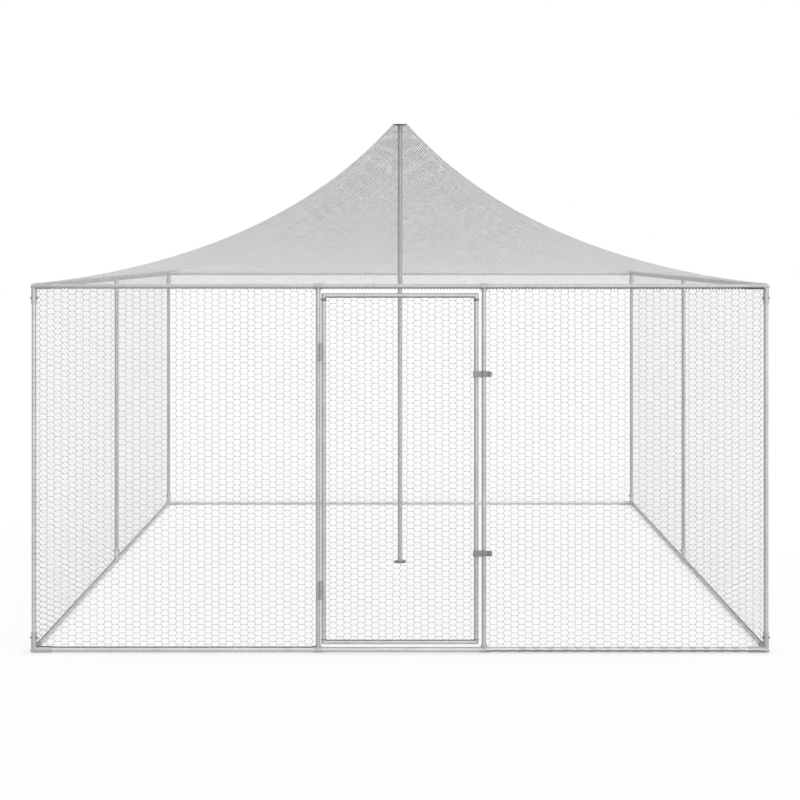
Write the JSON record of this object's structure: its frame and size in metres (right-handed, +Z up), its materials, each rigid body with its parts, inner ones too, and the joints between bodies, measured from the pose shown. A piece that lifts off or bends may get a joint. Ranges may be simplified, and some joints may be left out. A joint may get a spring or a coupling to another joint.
{
  "type": "aviary",
  "caption": "Walk-in aviary: square frame of round tube with wire netting walls, hinged netting door with hasps, and a peaked net roof on a centre pole",
  "frame": {"origin": "on the ground at the centre of the pole's foot plate, in the middle of the square plan", "axes": "+X to the right seen from the door side, +Y from the door to the back wall, +Z up"},
  "size_m": [4.0074, 4.0215, 3.0648],
  "materials": {
    "galvanised_tube": "galvanised, satin",
    "galvanised_connector": "galvanised, satin",
    "zinc_bolts": "zinc plated",
    "zinc_ironwork": "zinc plated, dull",
    "pole_plates": "galvanised, dull",
    "wire_netting": "galvanised wire",
    "roof_netting": "knotless polyethylene net"
  },
  "bodies": {
    "frame": {"base_rail_back_left": "galvanised_tube", "base_rail_back_right": "galvanised_tube", "base_rail_front_left": "galvanised_tube", "base_rail_front_middle": "galvanised_tube", "base_rail_front_right": "galvanised_tube", "base_rail_left_back": "galvanised_tube", "base_rail_left_front": "galvanised_tube", "base_rail_right_back": "galvanised_tube", "base_rail_right_front": "galvanised_tube", "connector_bolts": "zinc_bolts", "corner_connectors": "galvanised_connector", "corner_post_back_left": "galvanised_tube", "corner_post_back_right": "galvanised_tube", "corner_post_front_left": "galvanised_tube", "corner_post_front_right": "galvanised_tube", "door_post_hinge": "galvanised_tube", "door_post_latch": "galvanised_tube", "door_post_tees": "galvanised_connector", "hasp_staples": "zinc_ironwork", "hinge_lower_barrels": "zinc_ironwork", "hinge_pins": "zinc_ironwork", "middle_post_back": "galvanised_tube", "middle_post_left": "galvanised_tube", "middle_post_right": "galvanised_tube", "middle_post_tees": "galvanised_connector", "net_back_left": "wire_netting", "net_back_right": "wire_netting", "net_front_left": "wire_netting", "net_front_right": "wire_netting", "net_left_back": "wire_netting", "net_left_front": "wire_netting", "net_right_back": "wire_netting", "net_right_front": "wire_netting", "pole_foot_plate": "pole_plates", "pole_head_plate": "pole_plates", "pole_lower": "galvanised_tube", "pole_upper": "galvanised_tube", "roof_net_back": "roof_netting", "roof_net_front": "roof_netting", "roof_net_left": "roof_netting", "roof_net_right": "roof_netting", "top_rail_back_left": "galvanised_tube", "top_rail_back_right": "galvanised_tube", "top_rail_front_left": "galvanised_tube", "top_rail_front_middle": "galvanised_tube", "top_rail_front_right": "galvanised_tube", "top_rail_left_back": "galvanised_tube", "top_rail_left_front": "galvanised_tube", "top_rail_right_back": "galvanised_tube", "top_rail_right_front": "galvanised_tube"},
    "door": {"door_hinge_stile": "galvanised_tube", "door_latch_stile": "galvanised_tube", "door_bottom_rail": "galvanised_tube", "door_top_rail": "galvanised_tube", "door_net": "wire_netting", "hinge_upper_barrels": "zinc_ironwork", "hasp_plates": "zinc_ironwork", "hasp_pins": "zinc_ironwork"},
    "upper_hasp": {"upper_hasp_leaf": "zinc_ironwork"},
    "lower_hasp": {"lower_hasp_leaf": "zinc_ironwork"}
  },
  "joints": [
    {"name": "door_swing", "type": "hinge", "parent": "frame", "child": "door", "pos_m": [-0.42875, -2.00145, 0.983], "axis": [0, 0, -1], "range_deg": [0, 170]},
    {"name": "upper_hasp_swing", "type": "hinge", "parent": "door", "child": "upper_hasp", "pos_m": [0.4465, -2.0041, 1.509], "axis": [0, 0, -1], "range_deg": [0, 165]},
    {"name": "lower_hasp_swing", "type": "hinge", "parent": "door", "child": "lower_hasp", "pos_m": [0.4465, -2.0041, 0.539], "axis": [0, 0, -1], "range_deg": [0, 165]}
  ]
}
